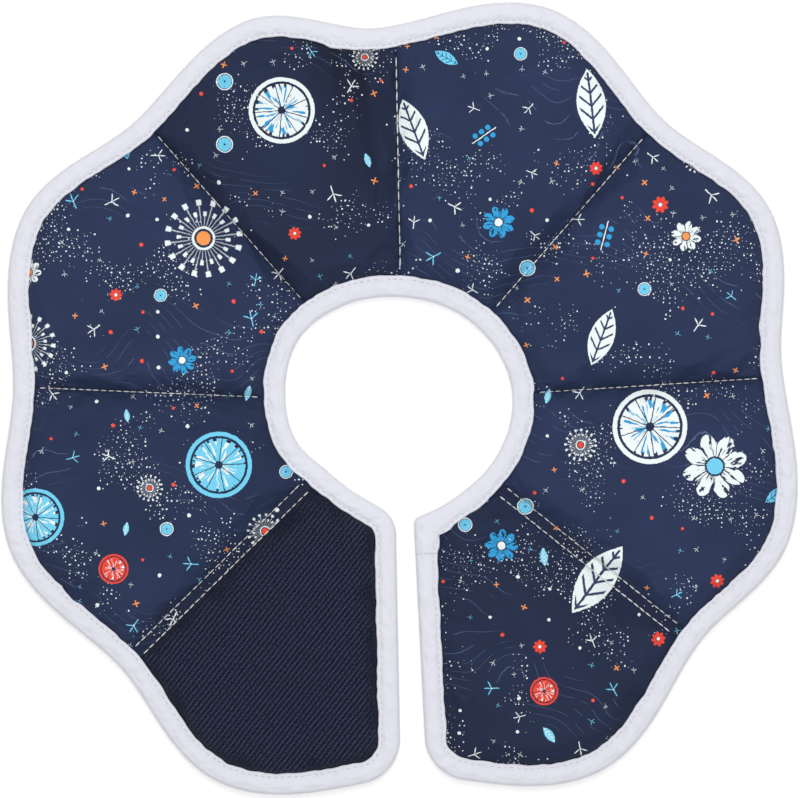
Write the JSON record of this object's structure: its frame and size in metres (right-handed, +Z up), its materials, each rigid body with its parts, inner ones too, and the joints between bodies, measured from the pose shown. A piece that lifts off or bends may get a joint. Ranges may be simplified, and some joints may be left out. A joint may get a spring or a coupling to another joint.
{
  "type": "soft padded recovery collar for a pet, petal style",
  "caption": "Soft padded pet recovery collar lying flat: quilted petals round a neck hole, a slit, a bound tape edge and a touch-fastening petal.",
  "frame": {"origin": "under the middle of the collar's own box, on the surface that it lies on", "axes": "+Z up through the thickness, -Y out of the slit, +X towards the petal with the hook patch, seen from above"},
  "size_m": [0.3584, 0.3565, 0.0105],
  "materials": {
    "printed_cloth": "fine twill-woven cloth, matt with a faint sheen",
    "loop_cloth": "ribbed loop pile, matt",
    "hook_tape": "hook tape, matt",
    "binding_tape": "soft folded tape, matt"
  },
  "bodies": {
    "root": {"petal_1": "printed_cloth", "petal_2": "printed_cloth", "petal_3": "printed_cloth", "petal_4": "printed_cloth", "petal_5": "printed_cloth", "petal_6": "printed_cloth", "petal_7": "printed_cloth", "petal_8": "printed_cloth", "seam_band_left": "printed_cloth", "seam_band_right": "printed_cloth", "loop_panel": "loop_cloth", "hook_patch": "hook_tape", "edge_binding": "binding_tape"}
  },
  "joints": []
}
